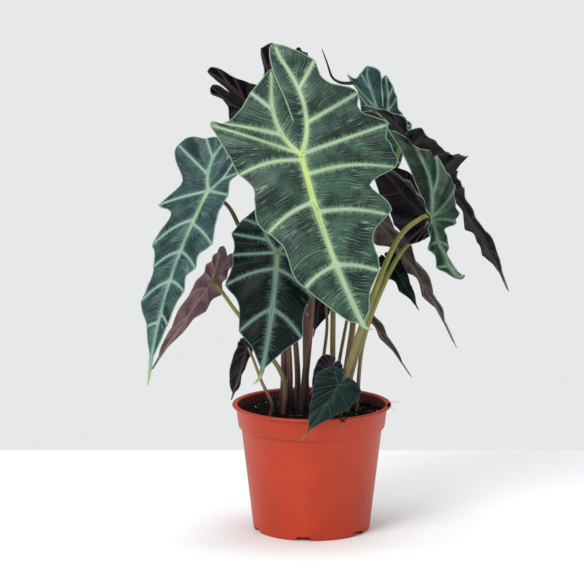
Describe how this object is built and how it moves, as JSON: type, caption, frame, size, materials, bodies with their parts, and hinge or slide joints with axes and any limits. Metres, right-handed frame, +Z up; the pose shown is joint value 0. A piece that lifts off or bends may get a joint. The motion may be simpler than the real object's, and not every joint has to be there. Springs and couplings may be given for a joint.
{
  "type": "potted alocasia plant",
  "caption": "Potted plant with large waved arrow-shaped leaves, pale-veined above and purple below, on bent stalks in a round collared nursery pot.",
  "frame": {"origin": "middle of the pot's flat base, on the surface it stands on", "axes": "+Z up along the pot's axis; -Y is the front, where the largest leaf faces; +X is the viewer's right"},
  "size_m": [0.4405, 0.2351, 0.5858],
  "materials": {
    "pot": "smooth satin orange-red plastic",
    "soil": "matt, crumbly, nearly black",
    "leaf_blade": "dark green satin with pale veins, purple underneath",
    "leaf_stalk": "satin olive green, brownish at the base"
  },
  "bodies": {
    "root": {"pot": "pot", "potting_soil": "soil", "blade_front_main": "leaf_blade", "blade_left_hanging": "leaf_blade", "blade_lower_centre": "leaf_blade", "blade_left_under": "leaf_blade", "blade_left_small": "leaf_blade", "blade_front_small": "leaf_blade", "blade_right_folded": "leaf_blade", "blade_far_right": "leaf_blade", "blade_back_upright": "leaf_blade", "blade_back_left": "leaf_blade", "blade_back_centre": "leaf_blade", "blade_right_inner": "leaf_blade", "blade_right_low": "leaf_blade", "blade_right_young": "leaf_blade", "blade_low_right": "leaf_blade", "blade_low_back": "leaf_blade", "blade_low_dark": "leaf_blade", "stalk_front_main": "leaf_stalk", "stalk_left_hanging": "leaf_stalk", "stalk_lower_centre": "leaf_stalk", "stalk_left_under": "leaf_stalk", "stalk_left_small": "leaf_stalk", "stalk_front_small": "leaf_stalk", "stalk_right_folded": "leaf_stalk", "stalk_far_right": "leaf_stalk", "stalk_back_upright": "leaf_stalk", "stalk_back_left": "leaf_stalk", "stalk_back_centre": "leaf_stalk", "stalk_right_inner": "leaf_stalk", "stalk_right_low": "leaf_stalk", "stalk_right_young": "leaf_stalk", "stalk_low_right": "leaf_stalk", "stalk_low_back": "leaf_stalk", "stalk_low_dark": "leaf_stalk"}
  },
  "joints": []
}
